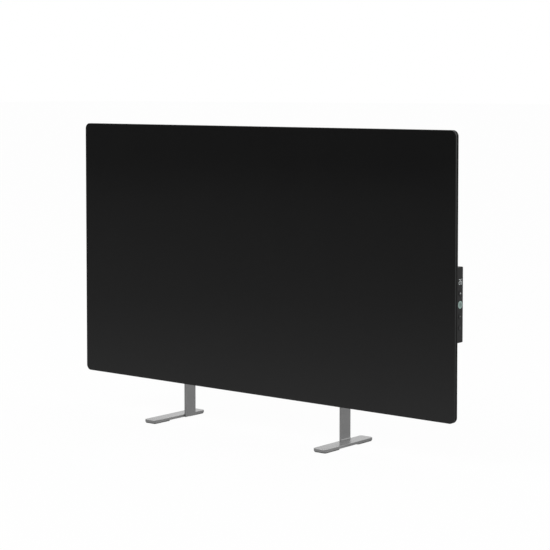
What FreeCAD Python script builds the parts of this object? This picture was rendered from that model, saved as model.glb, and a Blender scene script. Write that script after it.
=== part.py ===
import FreeCAD, Part
import os
import re
import Sketcher

# Free-standing glass panel heater, in millimetres.
# +X is right as seen from the front, +Y is the back, +Z is up.
# The origin is on the floor, under the middle of the glass sandwich.

os.makedirs("parts", exist_ok=True)
doc = FreeCAD.newDocument("panel_heater")

# Driving dimensions, one cell each
SIZES = {
    # Glass sandwich
    "panel_width": 1000.0,
    "panel_height": 564.0,
    "panel_bottom": 79.0,
    "corner_radius": 12.0,
    "sheet_thickness": 4.0,
    "core_thickness": 2.0,
    "edge_bevel": 0.5,
    "seal_inset": 1.0,
    "seal_width": 8.0,
    "busbar_width": 12.0,
    "busbar_thickness": 0.4,
    "busbar_margin": 6.0,
    "tail_width": 10.0,
    # Brass terminals that lead from the busbars to the main board
    "terminal_inset": 42.0,
    "terminal_spacing": 36.0,
    "terminal_head": 4.8,
    "terminal_head_height": 1.0,
    "terminal_size": 3.4,
    "terminal_bore": 3.5,
    "terminal_clearance": 0.3,
    "terminal_end": 1.0,
    "clip_size": 7.0,
    "clip_thickness": 2.4,
    "clip_fit": 0.05,
    # Legs
    "leg_spacing": 422.0,
    "post_thickness": 4.0,
    "post_width": 32.0,
    "post_setback": 8.2,
    "post_corner": 4.0,
    "foot_width": 32.0,
    "foot_length": 162.0,
    "foot_thickness": 5.5,
    "foot_corner": 4.0,
    "foot_bevel": 0.6,
    "weld_size": 1.4,
    "pad_thickness": 2.0,
    "pad_length": 50.0,
    "pad_inset": 1.2,
    # Leg brackets bonded to the rear glass
    "glue_thickness": 1.0,
    "glue_margin": 2.0,
    "bracket_rise": 14.0,
    "bracket_height": 110.0,
    "bracket_flange": 44.0,
    "bracket_wall": 3.0,
    "bracket_bend": 2.0,
    "leg_screw_pitch": 60.0,
    "leg_screw_radius": 2.5,
    "leg_screw_clearance": 0.25,
    "leg_head_radius": 4.75,
    "leg_head_height": 2.8,
    "leg_nut_flats": 8.0,
    "leg_nut_height": 4.0,
    "leg_screw_end": 1.5,
    "thread_fit": 0.05,
    # Control box shell
    "box_rise": 228.8,
    "box_height": 146.2,
    "box_depth": 19.0,
    "box_corner": 2.0,
    "cover_gap": 0.4,
    "cover_wall": 2.0,
    "shell_fit": 0.3,
    "tape_thickness": 0.8,
    "tape_margin": 1.5,
    "floor_thickness": 1.6,
    "boss_inset": 6.0,
    "boss_size": 6.0,
    "cover_screw_radius": 1.25,
    "cover_screw_depth": 8.0,
    "cover_screw_clearance": 0.25,
    "cover_head_radius": 2.4,
    "cover_head_height": 1.0,
    "vent_width": 2.0,
    "vent_length": 8.0,
    "vent_pitch": 5.0,
    "vent_inset": 20.0,
    # Cord gland in the underside of the box
    "gland_inset": 24.0,
    "gland_barrel_share": 0.265,
    "gland_lip": 1.8,
    "gland_drop": 7.0,
    "gland_dome": 2.0,
    "gland_reach": 4.0,
    "gland_clearance": 0.2,
    "gland_nut_wall": 1.0,
    "gland_nut_height": 2.5,
    "cord_radius": 3.5,
    # Fascia with its keys
    "fascia_inset": 0.8,
    "fascia_thickness": 2.5,
    "fascia_bevel": 0.3,
    "tongue_length": 6.0,
    "tongue_width": 8.0,
    "tongue_thickness": 1.4,
    "display_end": 28.7,
    "cap_margin": 3.8,
    "cap_gap": 0.25,
    "cap_proud": 0.8,
    "cap_play": 0.1,
    "flange_lip": 0.7,
    "flange_thickness": 0.9,
    "stem_size": 3.0,
    "stem_clearance": 0.2,
    "key_travel": 0.6,
    "tip_clearance": 0.2,
    "ring_width": 1.5,
    "ring_fit": 0.05,
    "window_margin": 3.5,
    "window_height": 15.0,
    "window_fit": 0.05,
    "window_lip": 0.8,
    "window_lip_thickness": 1.0,
    # Key board behind the fascia
    "key_board_depth": 11.2,
    "key_board_margin": 3.0,
    "key_board_end": 4.0,
    "board_thickness": 1.6,
    "key_post_gap": 5.0,
    "key_post_size": 4.4,
    "switch_size": 6.2,
    "switch_height": 3.6,
    "switch_bore_depth": 2.4,
    "display_gap": 0.3,
    "display_height": 16.0,
    "peg_size": 2.4,
    "peg_clearance": 0.1,
    "peg_end": 0.8,
    # Main board and what sits on it
    "main_board_width": 72.0,
    "main_board_end": 14.2,
    "main_board_inset": 5.0,
    "link_gap": 2.9,
    "standoff_height": 3.0,
    "standoff_size": 5.0,
    "standoff_inset": 4.0,
    "part_gap": 1.0,
    "supply_width": 25.0,
    "supply_length": 34.0,
    "supply_across": 15.0,
    "relay_width": 11.0,
    "relay_length": 20.0,
    "relay_inset": 12.0,
    "relay_end": 18.0,
    "block_width": 20.0,
    "block_length": 11.0,
    "block_across": 13.0,
    "block_end": 15.0,
    "fuse_width": 6.0,
    "fuse_length": 14.0,
    "fuse_drop": 2.0,
    "fuse_offset": 4.0,
    "fuse_end": 15.0,
    "capacitor_width": 8.0,
    "capacitor_length": 13.0,
    "capacitor_drop": 1.0,
    "capacitor_across": 32.5,
    "wireless_width": 16.0,
    "wireless_length": 18.0,
    "wireless_thickness": 0.8,
    "wireless_can_margin": 1.5,
    "wireless_can_length": 11.0,
    "wireless_can_height": 2.2,
    "wireless_inset": 19.0,
    "wireless_end": 12.0,
    "tilt_size": 8.0,
    "tilt_drop": 2.0,
    "tilt_across": 24.0,
    "buzzer_size": 9.0,
    "buzzer_height": 4.5,
    "buzzer_across": 13.0,
    "buzzer_end": 18.0,
    "link_height": 4.0,
    "link_length": 16.0,
    "link_seat": 6.0,
    # Sensors, with one opening in the tray and its tape for them and the terminals
    "sensor_window_height": 52.0,
    "sensor_window_left": 21.0,
    "sensor_window_right": 15.0,
    "cutout_radius": 5.0,
    "cutout_thickness": 3.0,
    "cutout_stem": 4.0,
    "cutout_offset": 12.0,
    "bead_size": 3.4,
    "bead_length": 2.6,
    "lead_size": 1.0,
    "glass_sensor_offset": 10.0,
    "room_sensor_inset": 16.0,
    "room_lead_length": 5.0,
    # Cuts run past the face they open by this much
    "overrun": 1.0,
}

# Counts
VENT_COUNT = 6

# Places and sums that several pieces share, written in the sizes above
PLACES = {
    "rear_face": "core_thickness / 2 + sheet_thickness",
    "panel_middle": "panel_bottom + panel_height / 2",
    "seal_span": "panel_width - 2 * seal_inset",
    "seal_rise": "panel_height - 2 * seal_inset",
    "film_width": "seal_span - 2 * seal_width",
    "film_height": "seal_rise - 2 * seal_width",
    "terminal_x": "panel_width / 2 - terminal_inset",
    "box_middle": "panel_bottom + box_rise",
    "terminal_rise": "box_middle - panel_middle",
    "post_inner": "leg_spacing / 2",
    "post_outer": "post_inner + post_thickness",
    "post_middle": "rear_face + post_setback + post_width / 2",
    "post_length": "bracket_bottom + bracket_height - pad_thickness",
    "foot_middle": "post_outer + foot_width / 2",
    "foot_top": "pad_thickness + foot_thickness",
    "bracket_front": "rear_face + glue_thickness",
    "bracket_bottom": "panel_bottom + bracket_rise",
    "bracket_middle": "bracket_bottom + bracket_height / 2",
    "web_depth": "post_setback - glue_thickness + post_width",
    "leg_hole": "leg_screw_radius + leg_screw_clearance",
    "leg_screw_length": "post_thickness + bracket_wall + leg_nut_height + leg_screw_end",
    "fascia_front": "panel_width / 2 - fascia_inset",
    "fascia_back": "fascia_front - fascia_thickness",
    "box_width": "key_board_depth + board_thickness + link_gap + main_board_width + main_board_inset"
                 " + shell_fit + cover_wall",
    "box_left": "fascia_front - box_width",
    "cover_length": "box_width - fascia_thickness",
    "cover_depth": "box_depth - cover_gap",
    "box_front": "rear_face + cover_gap",
    "box_rear": "rear_face + box_depth",
    "box_axis": "box_front + cover_depth / 2",
    "inner_rear": "box_rear - cover_wall",
    "floor_front": "rear_face + tape_thickness",
    "floor_top": "floor_front + floor_thickness",
    "floor_width": "cover_length - cover_wall - 2 * shell_fit",
    "floor_height": "box_height - 2 * cover_wall - 2 * shell_fit",
    "floor_left": "box_left + cover_wall + shell_fit",
    "floor_middle": "floor_left + floor_width / 2",
    "boss_x": "floor_width / 2 - boss_inset",
    "boss_z": "floor_height / 2 - boss_inset",
    "boss_height": "inner_rear - floor_front",
    "board_front": "floor_top + standoff_height",
    "board_rear": "board_front + board_thickness",
    "board_left": "floor_left + main_board_inset",
    "board_right": "board_left + main_board_width",
    "main_board_height": "floor_height - 2 * main_board_end",
    "board_half": "main_board_height / 2",
    "tall_part": "inner_rear - board_rear - part_gap",
    "board_middle": "board_left + main_board_width / 2",
    "standoff_x": "main_board_width / 2 - standoff_inset",
    "standoff_z": "main_board_height / 2 - standoff_inset",
    "cover_hole": "cover_screw_radius + cover_screw_clearance",
    "gland_x": "box_left + gland_inset",
    "gland_barrel": "cover_depth * gland_barrel_share",
    "gland_radius": "gland_barrel + gland_lip",
    "box_bottom": "box_middle - box_height / 2",
    "key_front": "fascia_front - key_board_depth",
    "key_back": "key_front - board_thickness",
    "key_pitch": "(box_height / 2 - display_end) / 2",
    "display_z": "2 * key_pitch",
    "cap_radius": "cover_depth / 2 - cap_margin",
    "cap_hole": "cap_radius + cap_gap",
    "flange_size": "2 * (cap_radius + flange_lip)",
    "ring_radius": "cap_hole + ring_width",
    "window_width": "cover_depth - 2 * window_margin",
    "key_post_z": "display_z + window_height / 2 + window_lip + key_post_gap",
    "key_board_width": "cover_depth - 2 * key_board_margin",
    "key_board_height": "2 * (key_post_z + key_board_end)",
    "switch_top": "key_front + switch_height",
    "stem_reach": "fascia_back - switch_top + switch_bore_depth - key_travel - tip_clearance",
    "peg_hole": "peg_size + 2 * peg_clearance",
    "sensor_window_width": "sensor_window_left + sensor_window_right",
    "sensor_window_x": "terminal_x + (sensor_window_right - sensor_window_left) / 2",
}

sheet = doc.addObject("Spreadsheet::Sheet", "Sizes")
for row, (alias, size) in enumerate(SIZES.items(), start=1):
    sheet.set(f"A{row}", alias)
    sheet.set(f"B{row}", str(size))
    sheet.setAlias(f"B{row}", alias)
doc.recompute()


def spell(text):
    """Turns words into an expression: a size becomes its cell, a place its own sum."""
    def swap(match):
        word = match.group()
        if word in SIZES:
            return f"Sizes.{word}"
        if word in PLACES:
            return f"({spell(PLACES[word])})"
        return word
    return re.sub(r"[a-z_]+", swap, text)


def measure(text):
    """The present value of an expression."""
    return float(sheet.evalExpression(spell(text)))


pieces = []


def place(piece, x, y, z, turn=None):
    """Puts a piece at a point given in words, turned if a rotation is given."""
    if turn is not None:
        piece.Placement = FreeCAD.Placement(FreeCAD.Vector(), turn)
    for axis, text in zip("xyz", (x, y, z)):
        piece.setExpression(f"Placement.Base.{axis}", spell(text))


def new_body(label, x="0", y="0", z="0", turn=None, kept=True):
    """An empty body at its place; a kept one is written out as a piece of its own."""
    body = doc.addObject("PartDesign::Body", label)
    place(body, x, y, z, turn)
    if kept:
        pieces.append(body)
    return body


def new_sketch(body, role, level="0"):
    """A sketch on one of the body's own origin planes, or at a level along that plane's normal."""
    plane = next(datum for datum in body.Origin.OriginFeatures if datum.Role == role)
    sketch = body.newObject("Sketcher::SketchObject", f"{body.Label}_sketch")
    sketch.AttachmentSupport = [(plane, "")]
    sketch.MapMode = "FlatFace"
    sketch.setExpression("AttachmentOffset.Base.z", spell(level))
    return sketch


def hold(sketch, curve, point, x, y):
    """Ties a point of a curve to two expressions, measured from the sketch's origin."""
    for kind, text, axis in (("DistanceX", x, -2), ("DistanceY", y, -1)):
        length = measure(text)
        if length == 0:
            sketch.addConstraint(Sketcher.Constraint("PointOnObject", curve, point, axis))
        elif length > 0:
            tie = sketch.addConstraint(Sketcher.Constraint(kind, -1, 1, curve, point, length))
            sketch.setExpression(f"Constraints[{tie}]", spell(text))
        else:
            tie = sketch.addConstraint(Sketcher.Constraint(kind, curve, point, -1, 1, -length))
            sketch.setExpression(f"Constraints[{tie}]", f"-({spell(text)})")


def draw_outline(sketch, points):
    """A closed outline of straight lines, each corner tied to its pair of expressions."""
    corners = [FreeCAD.Vector(measure(x), measure(y), 0) for x, y in points]
    first = sketch.GeometryCount
    for start, end in zip(corners, corners[1:] + corners[:1]):
        sketch.addGeometry(Part.LineSegment(start, end), False)
    for step, (x, y) in enumerate(points):
        following = first + (step + 1) % len(points)
        sketch.addConstraint(Sketcher.Constraint("Coincident", first + step, 2, following, 1))
        hold(sketch, first + step, 1, x, y)


def rectangle(width, height, x="0", y="0"):
    """The four corners of a rectangle about a middle point."""
    left, right = f"{x} - ({width}) / 2", f"{x} + ({width}) / 2"
    low, high = f"{y} - ({height}) / 2", f"{y} + ({height}) / 2"
    return [(left, low), (right, low), (right, high), (left, high)]


def draw_circles(sketch, radius, centres):
    """Circles of one radius, each centre tied to its pair of expressions."""
    for x, y in centres:
        middle = FreeCAD.Vector(measure(x), measure(y), 0)
        ring = Part.Circle(middle, FreeCAD.Vector(0, 0, 1), measure(radius))
        curve = sketch.addGeometry(ring, False)
        tie = sketch.addConstraint(Sketcher.Constraint("Radius", curve, measure(radius)))
        sketch.setExpression(f"Constraints[{tie}]", spell(radius))
        hold(sketch, curve, 3, x, y)


# A sketch on the XZ plane faces the front, so a solid that grows to the back is reversed
GROWS_REVERSED = {"XY_Plane": False, "YZ_Plane": False, "XZ_Plane": True}


def pad(body, role, outlines=(), circles=None, length="0", level="0", back=False):
    """Adds material from a sketch, along +X, +Y or +Z, or the other way if back is set."""
    sketch = new_sketch(body, role, level)
    for points in outlines:
        draw_outline(sketch, points)
    if circles:
        draw_circles(sketch, *circles)
    feature = body.newObject("PartDesign::Pad", f"{body.Label}_pad")
    feature.Profile = sketch
    feature.Reversed = GROWS_REVERSED[role] != back
    feature.setExpression("Length", spell(length))
    doc.recompute()
    return feature


def pocket(body, role, outlines=(), circles=None, depth=None, level="0", back=False, both=False):
    """Cuts along +X, +Y or +Z, or the other way if back is set; right through if no depth is given."""
    sketch = new_sketch(body, role, level)
    for points in outlines:
        draw_outline(sketch, points)
    if circles:
        draw_circles(sketch, *circles)
    before = body.Shape.Volume
    feature = body.newObject("PartDesign::Pocket", f"{body.Label}_pocket")
    feature.Profile = sketch
    feature.Reversed = GROWS_REVERSED[role] == back
    if both:
        feature.SideType = "Symmetric"
    if depth is None:
        feature.Type = "ThroughAll"
    else:
        feature.setExpression("Length", spell(depth))
    doc.recompute()
    if not body.Shape.Volume < before:
        raise RuntimeError(f"a pocket of {body.Label} cuts nothing")
    return feature


def dress(body, kind, size, chosen):
    """Rounds or bevels the chosen edges of the body as it stands; kind is Fillet or Chamfer."""
    tip = body.Tip
    names = [f"Edge{index}" for index, edge in enumerate(tip.Shape.Edges, start=1) if chosen(edge)]
    feature = body.newObject(f"PartDesign::{kind}", f"{body.Label}_{kind.lower()}")
    feature.Base = (tip, names)
    feature.setExpression("Radius" if kind == "Fillet" else "Size", spell(size))
    doc.recompute()
    return feature


# Edges count as level or upright when they stray less than this share of a length
SAME_SHARE = 1e-6


def runs_along(axis):
    """Chooses straight edges that run along one axis, named by its letter."""
    def chosen(edge):
        step = edge.lastVertex().Point - edge.firstVertex().Point
        along = abs(getattr(step, axis))
        return edge.Curve.TypeId == "Part::GeomLine" and along > step.Length * (1 - SAME_SHARE)
    return chosen


def lies_at(axis, text):
    """Chooses edges that lie in the plane across an axis at a level given in words."""
    level = measure(text)
    slack = SAME_SHARE * measure("panel_width")

    def chosen(edge):
        ends = [getattr(edge.BoundBox, f"{axis.upper()}{end}") for end in ("Min", "Max")]
        return all(abs(end - level) < slack for end in ends)
    return chosen


THICKNESS_AXIS = {"YZ_Plane": "x", "XZ_Plane": "y", "XY_Plane": "z"}


def plate(label, role, width, height, thickness, x, y, z, corner=None, kept=True):
    """A flat plate about a middle point, grown along its own normal axis, with rounded corners."""
    body = new_body(label, x, y, z, kept=kept)
    pad(body, role, [rectangle(width, height)], length=thickness)
    if corner:
        dress(body, "Fillet", corner, runs_along(THICKNESS_AXIS[role]))
    return body


# Turns that bring a turned piece's own +Z to the direction in the name
TO_RIGHT = FreeCAD.Rotation(FreeCAD.Vector(0, 1, 0), 90)
TO_LEFT = FreeCAD.Rotation(FreeCAD.Vector(0, 1, 0), -90)
TO_BACK = FreeCAD.Rotation(FreeCAD.Vector(1, 0, 0), -90)
QUARTER_TURN_UPRIGHT = FreeCAD.Rotation(FreeCAD.Vector(0, 0, 1), 90)
HALF_TURN_UPRIGHT = FreeCAD.Rotation(FreeCAD.Vector(0, 0, 1), 180)
HALF_TURN_DEPTH = FreeCAD.Rotation(FreeCAD.Vector(0, 1, 0), 180)


def turned(label, profile, x, y, z, turn=None, kept=True):
    """A piece turned about its own Z axis from pairs of radius and height."""
    body = new_body(label, x, y, z, turn, kept)
    sketch = new_sketch(body, "XZ_Plane")
    draw_outline(sketch, profile)
    feature = body.newObject("PartDesign::Revolution", f"{label}_turn")
    feature.Profile = sketch
    feature.ReferenceAxis = (sketch, ["V_Axis"])
    feature.Angle = 360
    doc.recompute()
    return body


def screw(label, radius, length, head_radius, head_height, x, y, z, turn):
    """A screw whose head sits at its place and whose shank runs the other way."""
    profile = [
        ("0", f"-({length})"),
        (radius, f"-({length})"),
        (radius, "0"),
        (head_radius, "0"),
        (head_radius, head_height),
        ("0", head_height),
    ]
    return turned(label, profile, x, y, z, turn, kept=False)


def hex_nut(label, flats, bore, height, x, y, z, turn=None, kept=False):
    """A hexagon nut about its own Z axis."""
    side = f"({flats}) / 2 * tan(30 deg)"
    point = f"({flats}) / 2 / cos(30 deg)"
    corners = [
        (f"({flats}) / 2", side), ("0", point), (f"-({flats}) / 2", side),
        (f"-({flats}) / 2", f"-({side})"), ("0", f"-({point})"), (f"({flats}) / 2", f"-({side})"),
    ]
    body = new_body(label, x, y, z, turn, kept)
    pad(body, "XY_Plane", [corners], (bore, [("0", "0")]), height)
    return body


def group(label, members):
    """Like pieces written out together, as separate solids of one node."""
    node = doc.addObject("Part::Compound", label)
    node.Links = members
    pieces.append(node)
    return node


# Signs that put a length on the left or the right
SIDES = (("left", "-"), ("right", ""))


# Glass sandwich: two toughened sheets, sealed round the edge, with the heating film between
def glass_sheet(label, front):
    """One sheet with rounded corners and both faces' edges ground to a bevel."""
    sheet_body = plate(label, "XZ_Plane", "panel_width", "panel_height", "sheet_thickness",
                       "0", front, "panel_middle", "corner_radius")
    front_rim, rear_rim = lies_at("y", "0"), lies_at("y", "sheet_thickness")
    dress(sheet_body, "Chamfer", "edge_bevel", lambda edge: front_rim(edge) or rear_rim(edge))
    return sheet_body


TERMINALS = [("terminal_x", f"terminal_rise {side} terminal_spacing / 2") for side in ("+", "-")]

glass_sheet("front_glass", "-rear_face")
rear_glass = glass_sheet("rear_glass", "core_thickness / 2")
pocket(rear_glass, "XZ_Plane", circles=("terminal_bore", TERMINALS))

edge_seal = plate("edge_seal", "XZ_Plane", "seal_span", "seal_rise", "core_thickness",
                  "0", "-core_thickness / 2", "panel_middle", "corner_radius - seal_inset")
pocket(edge_seal, "XZ_Plane", [rectangle("film_width", "film_height")])


def busbar(label, side):
    """A copper strip along one long edge of the film, with a tail that turns in to its terminal."""
    body = new_body(label, "0", "core_thickness / 2 - busbar_thickness", "panel_middle")
    outer = f"{side}(film_height / 2 - busbar_margin)"
    inner = f"{side}(film_height / 2 - busbar_margin - busbar_width)"
    left = "busbar_margin - film_width / 2"
    tail_left, tail_right = "terminal_x - tail_width / 2", "terminal_x + tail_width / 2"
    tail_end = f"terminal_rise + {side}(terminal_spacing / 2 - tail_width / 2)"
    corners = [
        (left, outer), (tail_right, outer), (tail_right, tail_end),
        (tail_left, tail_end), (tail_left, inner), (left, inner),
    ]
    pad(body, "XZ_Plane", [corners], length="busbar_thickness")
    return body


busbars = [busbar("upper_busbar", ""), busbar("lower_busbar", "-")]

film = plate("film_sheet", "XZ_Plane", "film_width", "film_height", "core_thickness",
             "0", "-core_thickness / 2", "panel_middle", kept=False)
for number, strip in enumerate(busbars):
    channel = doc.addObject("Part::Cut", "heating_film" if number else "film_channel")
    channel.Base = film
    channel.Tool = strip
    film = channel
pieces.append(film)


def terminal(label, x, z):
    """A square brass pin with a head that is soldered to the busbar's tail."""
    body = plate(label, "XZ_Plane", "terminal_head", "terminal_head", "terminal_head_height",
                 x, "core_thickness / 2", f"panel_middle + {z}", kept=False)
    pad(body, "XZ_Plane", [rectangle("terminal_size", "terminal_size")],
        length="board_rear - core_thickness / 2 + clip_thickness + terminal_end")
    return body


def terminal_clip(label, x, z):
    """A push-on clip that joins a pin to the main board."""
    body = plate(label, "XZ_Plane", "clip_size", "clip_size", "clip_thickness",
                 x, "board_rear", f"panel_middle + {z}", kept=False)
    bore = "terminal_size + 2 * clip_fit"
    pocket(body, "XZ_Plane", [rectangle(bore, bore)])
    return body


group("busbar_terminals", [terminal(f"terminal_{number}", x, z) for number, (x, z) in enumerate(TERMINALS)])
group("terminal_clips", [terminal_clip(f"clip_{number}", x, z) for number, (x, z) in enumerate(TERMINALS)])

# Legs: a flat foot with a post welded to its inner side, screwed to an angle bonded to the glass
LEG_SCREW_LEVELS = [f"bracket_middle {side} leg_screw_pitch / 2" for side in ("+", "-")]


def foot(side_name, side):
    """A flat bar along the depth with rounded corners and a bevelled top edge."""
    body = plate(f"{side_name}_foot", "XY_Plane", "foot_width", "foot_length", "foot_thickness",
                 f"{side}(foot_middle)", "0", "pad_thickness", "foot_corner")
    dress(body, "Chamfer", "foot_bevel", lies_at("z", "foot_thickness"))
    return body


def post(side_name, side):
    """A flat bar on edge, down to the foot's underside and up behind the glass."""
    middle = "pad_thickness + post_length / 2"
    body = plate(f"{side_name}_post", "YZ_Plane", "post_width", "post_length", "post_thickness",
                 "post_inner" if side_name == "right" else "-post_outer", "post_middle", middle)
    top_corner = lies_at("z", "post_length / 2")
    dress(body, "Fillet", "post_corner", lambda edge: top_corner(edge) and runs_along("x")(edge))
    holes = [("0", f"{level} - ({middle})") for level in LEG_SCREW_LEVELS]
    pocket(body, "YZ_Plane", circles=("leg_hole", holes))
    return body


def bracket(side_name, side):
    """An aluminium angle: its flange is bonded to the glass, its web carries the post."""
    bottom = "bracket_bottom" if side_name == "right" else "bracket_bottom + bracket_height"
    body = new_body(f"{side_name}_bracket", f"{side}(post_inner)", "bracket_front", bottom,
                    None if side_name == "right" else HALF_TURN_DEPTH)
    angle = [
        ("0", "0"), ("0", "web_depth"), ("-bracket_wall", "web_depth"),
        ("-bracket_wall", "bracket_wall"), ("-bracket_flange", "bracket_wall"), ("-bracket_flange", "0"),
    ]
    pad(body, "XY_Plane", [angle], length="bracket_height")
    in_corner = lies_at("x", "-bracket_wall")
    at_flange = lies_at("y", "bracket_wall")
    dress(body, "Fillet", "bracket_bend", lambda edge: in_corner(edge) and at_flange(edge))
    holes = [("web_depth - post_width / 2", f"bracket_height / 2 {turn} leg_screw_pitch / 2")
             for turn in ("+", "-")]
    pocket(body, "YZ_Plane", circles=("leg_hole", holes), back=True)
    return body


def weld(side_name, side):
    """The bead in the corner between the foot's top and the post."""
    start = "post_middle - post_width / 2" if side_name == "right" else "post_middle + post_width / 2"
    body = new_body(f"{side_name}_weld", f"{side}(post_outer)", start, "foot_top",
                    None if side_name == "right" else HALF_TURN_UPRIGHT, kept=False)
    bead = [("0", "0"), ("weld_size", "0"), ("0", "weld_size")]
    pad(body, "XZ_Plane", [bead], length="post_width")
    return body


for side_name, side in SIDES:
    foot(side_name, side)
    post(side_name, side)
    bracket(side_name, side)
    for end_name, end in (("front", "-"), ("rear", "")):
        plate(f"{side_name}_{end_name}_pad", "XY_Plane", "foot_width - 2 * pad_inset", "pad_length",
              "pad_thickness", f"{side}(foot_middle)",
              f"{end}(foot_length / 2 - pad_inset - pad_length / 2)", "0")

group("leg_welds", [weld(side_name, side) for side_name, side in SIDES])
group("bracket_adhesive", [
    plate(f"{side_name}_glue", "XZ_Plane", "bracket_flange - 2 * glue_margin",
          "bracket_height - 2 * glue_margin", "glue_thickness",
          f"{side}(post_inner - bracket_flange / 2)", "rear_face", "bracket_middle", kept=False)
    for side_name, side in SIDES])
group("leg_screws", [
    screw(f"{side_name}_screw_{number}", "leg_screw_radius", "leg_screw_length", "leg_head_radius",
          "leg_head_height", f"{side}(post_outer)", "post_middle", level,
          TO_RIGHT if side_name == "right" else TO_LEFT)
    for side_name, side in SIDES for number, level in enumerate(LEG_SCREW_LEVELS)])
group("leg_nuts", [
    hex_nut(f"{side_name}_nut_{number}", "leg_nut_flats", "leg_screw_radius + thread_fit", "leg_nut_height",
            f"{side}(post_inner - bracket_wall)", "post_middle", level,
            TO_LEFT if side_name == "right" else TO_RIGHT)
    for side_name, side in SIDES for number, level in enumerate(LEG_SCREW_LEVELS)])

# Control box shell: a tray taped to the glass and a moulded cover screwed onto its bosses
CORNERS = [(across, along) for across in ("-", "") for along in ("-", "")]
BOSSES = [(f"{across}(boss_x)", f"{along}(boss_z)") for across, along in CORNERS]
STANDOFFS = [(f"board_middle - floor_middle + {across}(standoff_x)", f"{along}(standoff_z)")
             for across, along in CORNERS]
# Two standoffs across a diagonal end in pegs that are staked over the board
PEGGED = STANDOFFS[1:3]

tape = plate("box_tape", "XZ_Plane", "floor_width - 2 * tape_margin", "floor_height - 2 * tape_margin",
             "tape_thickness", "floor_middle", "rear_face", "box_middle")
tray = plate("control_base", "XZ_Plane", "floor_width", "floor_height", "floor_thickness",
             "floor_middle", "floor_front", "box_middle")
pad(tray, "XZ_Plane", [rectangle("standoff_size", "standoff_size", x, z) for x, z in STANDOFFS],
    length="floor_thickness + standoff_height")
pad(tray, "XZ_Plane", [rectangle("boss_size", "boss_size", x, z) for x, z in BOSSES], length="boss_height")
pocket(tray, "XZ_Plane", circles=("cover_screw_radius + thread_fit", BOSSES), level="-boss_height",
       depth="cover_screw_depth", back=True)
pad(tray, "XZ_Plane", [rectangle("peg_size", "peg_size", x, z) for x, z in PEGGED],
    length="floor_thickness + standoff_height + board_thickness + peg_end")
for opened in (tape, tray):
    pocket(opened, "XZ_Plane", [rectangle("sensor_window_width", "sensor_window_height",
                                          "sensor_window_x - floor_middle")])

cover_middle = "box_left + cover_length / 2"
cover = plate("control_cover", "XZ_Plane", "cover_length", "box_height", "cover_depth",
              cover_middle, "box_front", "box_middle")
at_left, at_rear = lies_at("x", "-cover_length / 2"), lies_at("y", "cover_depth")
at_right = lies_at("x", "cover_length / 2")
dress(cover, "Fillet", "box_corner",
      lambda edge: (at_rear(edge) and not at_right(edge)) or (at_left(edge) and runs_along("y")(edge)))
hollow_right = "cover_length / 2 + overrun"
hollow_left = "cover_wall - cover_length / 2"
hollow_half = "box_height / 2 - cover_wall"
pocket(cover, "XZ_Plane", [[(hollow_left, f"-({hollow_half})"), (hollow_right, f"-({hollow_half})"),
                            (hollow_right, hollow_half), (hollow_left, hollow_half)]],
       depth="cover_depth - cover_wall")
on_cover = [(f"floor_middle - ({cover_middle}) + {x}", z) for x, z in BOSSES]
pocket(cover, "XZ_Plane", circles=("cover_hole", on_cover))
vents = [rectangle("vent_width", "vent_length", f"cover_length / 2 - vent_inset - {step} * vent_pitch",
                   "cover_depth / 2") for step in range(VENT_COUNT)]
pocket(cover, "XY_Plane", vents, both=True)
pocket(cover, "XY_Plane", back=True,
       circles=("gland_barrel + gland_clearance", [(f"gland_x - ({cover_middle})", "cover_depth / 2")]))
group("cover_screws", [
    screw(f"cover_screw_{number}", "cover_screw_radius", "cover_wall + cover_screw_depth - tip_clearance",
          "cover_head_radius", "cover_head_height", f"floor_middle + {x}", "box_rear", f"box_middle + {z}",
          TO_BACK)
    for number, (x, z) in enumerate(BOSSES)])

gland_top = "cover_wall + gland_nut_height + gland_reach"
turned("cable_gland", [
    ("cord_radius", "-gland_drop"),
    ("gland_radius - gland_dome", "-gland_drop"),
    ("gland_radius", "gland_dome - gland_drop"),
    ("gland_radius", "0"),
    ("gland_barrel", "0"),
    ("gland_barrel", gland_top),
    ("cord_radius", gland_top),
], "gland_x", "box_axis", "box_bottom")
hex_nut("gland_nut", "2 * (gland_barrel + gland_nut_wall)", "gland_barrel + thread_fit", "gland_nut_height",
        "gland_x", "box_axis", "box_bottom + cover_wall", QUARTER_TURN_UPRIGHT, kept=True)

# Fascia: the strip that closes the box's side, with the keys, the light ring and the display window
KEYS = {"plus_button": "key_pitch", "power_button": "0", "minus_button": "-(key_pitch)",
        "mode_button": "-(display_z)"}
KEY_POSTS = [("0", "key_post_z"), ("0", "-(key_post_z)")]

fascia = plate("control_fascia", "YZ_Plane", "cover_depth", "box_height", "fascia_thickness",
               "fascia_back", "box_axis", "box_middle")
rear_corner = lies_at("y", "cover_depth / 2")
dress(fascia, "Fillet", "box_corner", lambda edge: rear_corner(edge) and runs_along("x")(edge))
dress(fascia, "Chamfer", "fascia_bevel", lies_at("x", "fascia_thickness"))
small_keys = [("0", z) for name, z in KEYS.items() if name != "power_button"]
pocket(fascia, "YZ_Plane", circles=("cap_hole", small_keys))
pocket(fascia, "YZ_Plane", circles=("ring_radius + ring_fit", [("0", "0")]))
pocket(fascia, "YZ_Plane", [rectangle("window_width", "window_height", "0", "display_z")])
pad(fascia, "YZ_Plane", [rectangle("key_post_size", "key_post_size", y, z) for y, z in KEY_POSTS],
    length="fascia_back - key_front", back=True)
pad(fascia, "YZ_Plane", [rectangle("peg_size", "peg_size", y, z) for y, z in KEY_POSTS],
    length="fascia_back - key_back + peg_end", back=True)
tongue_level = "box_height / 2 - cover_wall - shell_fit - tongue_thickness / 2"
pad(fascia, "YZ_Plane", [rectangle("tongue_width", "tongue_thickness", "0", f"{end}({tongue_level})")
                         for end in ("", "-")], length="tongue_length", back=True)

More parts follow.
